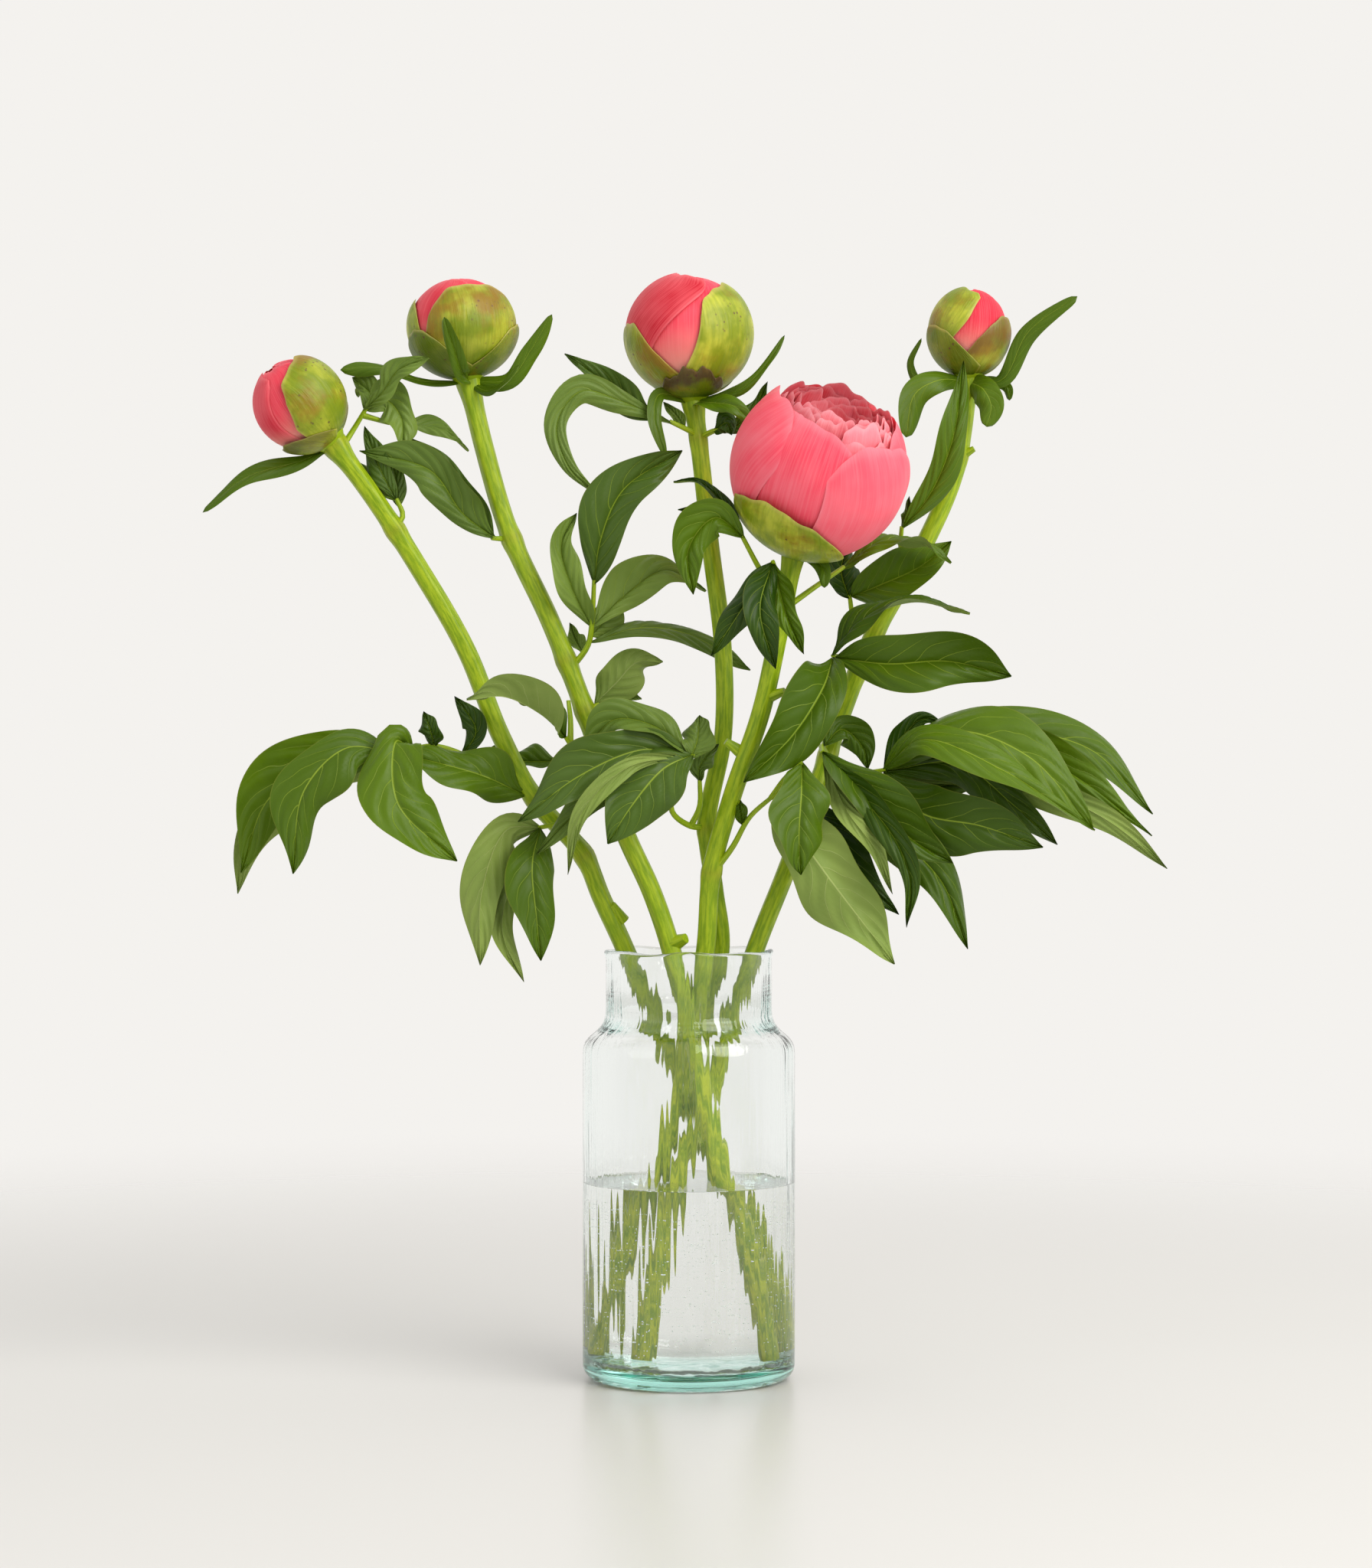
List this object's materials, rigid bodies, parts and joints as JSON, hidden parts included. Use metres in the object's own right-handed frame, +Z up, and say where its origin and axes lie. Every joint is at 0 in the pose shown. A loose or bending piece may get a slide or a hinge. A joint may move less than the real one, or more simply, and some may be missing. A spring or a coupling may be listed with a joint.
{
  "type": "peony in a bud vase",
  "caption": "Cut peonies, buds and a half-open coral bloom with compound leaves, standing in water in a clear glass bottle vase.",
  "frame": {"origin": "centre of the vase's flat foot, on the surface that it stands on", "axes": "+Z up out of the vase, +X to the right of the arrangement seen from its front, -Y towards that front"},
  "size_m": [0.4486, 0.1342, 0.514],
  "materials": {
    "glass": "gloss",
    "water": "gloss",
    "stem": "satin",
    "leaf": "satin",
    "sepal": "satin",
    "petal": "matte"
  },
  "bodies": {
    "root": {"bloom_inner_petals": "petal", "bloom_petal_1": "petal", "bloom_petal_2": "petal", "bloom_petal_3": "petal", "bloom_petal_4": "petal", "bloom_petal_5": "petal", "bloom_petal_6": "petal", "bloom_sepal_1": "sepal", "bud_a_inner_petals": "petal", "bud_a_sepal_1": "sepal", "bud_a_sepal_2": "sepal", "bud_a_sepal_3": "sepal", "bud_b_inner_petals": "petal", "bud_b_sepal_1": "sepal", "bud_b_sepal_2": "sepal", "bud_b_sepal_3": "sepal", "bud_b_sepal_4": "sepal", "bud_b_sepal_5": "sepal", "bud_c_inner_petals": "petal", "bud_c_sepal_1": "sepal", "bud_c_sepal_2": "sepal", "bud_c_sepal_3": "sepal", "bud_c_sepal_4": "sepal", "bud_e_inner_petals": "petal", "bud_e_sepal_1": "sepal", "bud_e_sepal_2": "sepal", "bud_e_sepal_3": "sepal", "bud_e_sepal_4": "sepal", "calyx_a": "sepal", "calyx_b": "sepal", "calyx_c": "sepal", "calyx_d": "sepal", "calyx_e": "sepal", "leaf_a_drop": "leaf", "leaf_a_fan": "leaf", "leaf_a_low": "leaf", "leaf_a_top": "leaf", "leaf_b_low": "leaf", "leaf_b_side": "leaf", "leaf_b_single": "leaf", "leaf_b_tall": "leaf", "leaf_c_curl": "leaf", "leaf_c_front": "leaf", "leaf_c_right": "leaf", "leaf_d_left": "leaf", "leaf_d_low": "leaf", "leaf_d_right": "leaf", "leaf_d_three": "leaf", "leaf_e_back": "leaf", "leaf_e_big": "leaf", "leaf_e_fan": "leaf", "leaf_e_far": "leaf", "leaf_e_long": "leaf", "stem_a": "stem", "stem_b": "stem", "stem_c": "stem", "stem_d": "stem", "stem_e": "stem", "vase": "glass", "water": "water"}
  },
  "joints": []
}
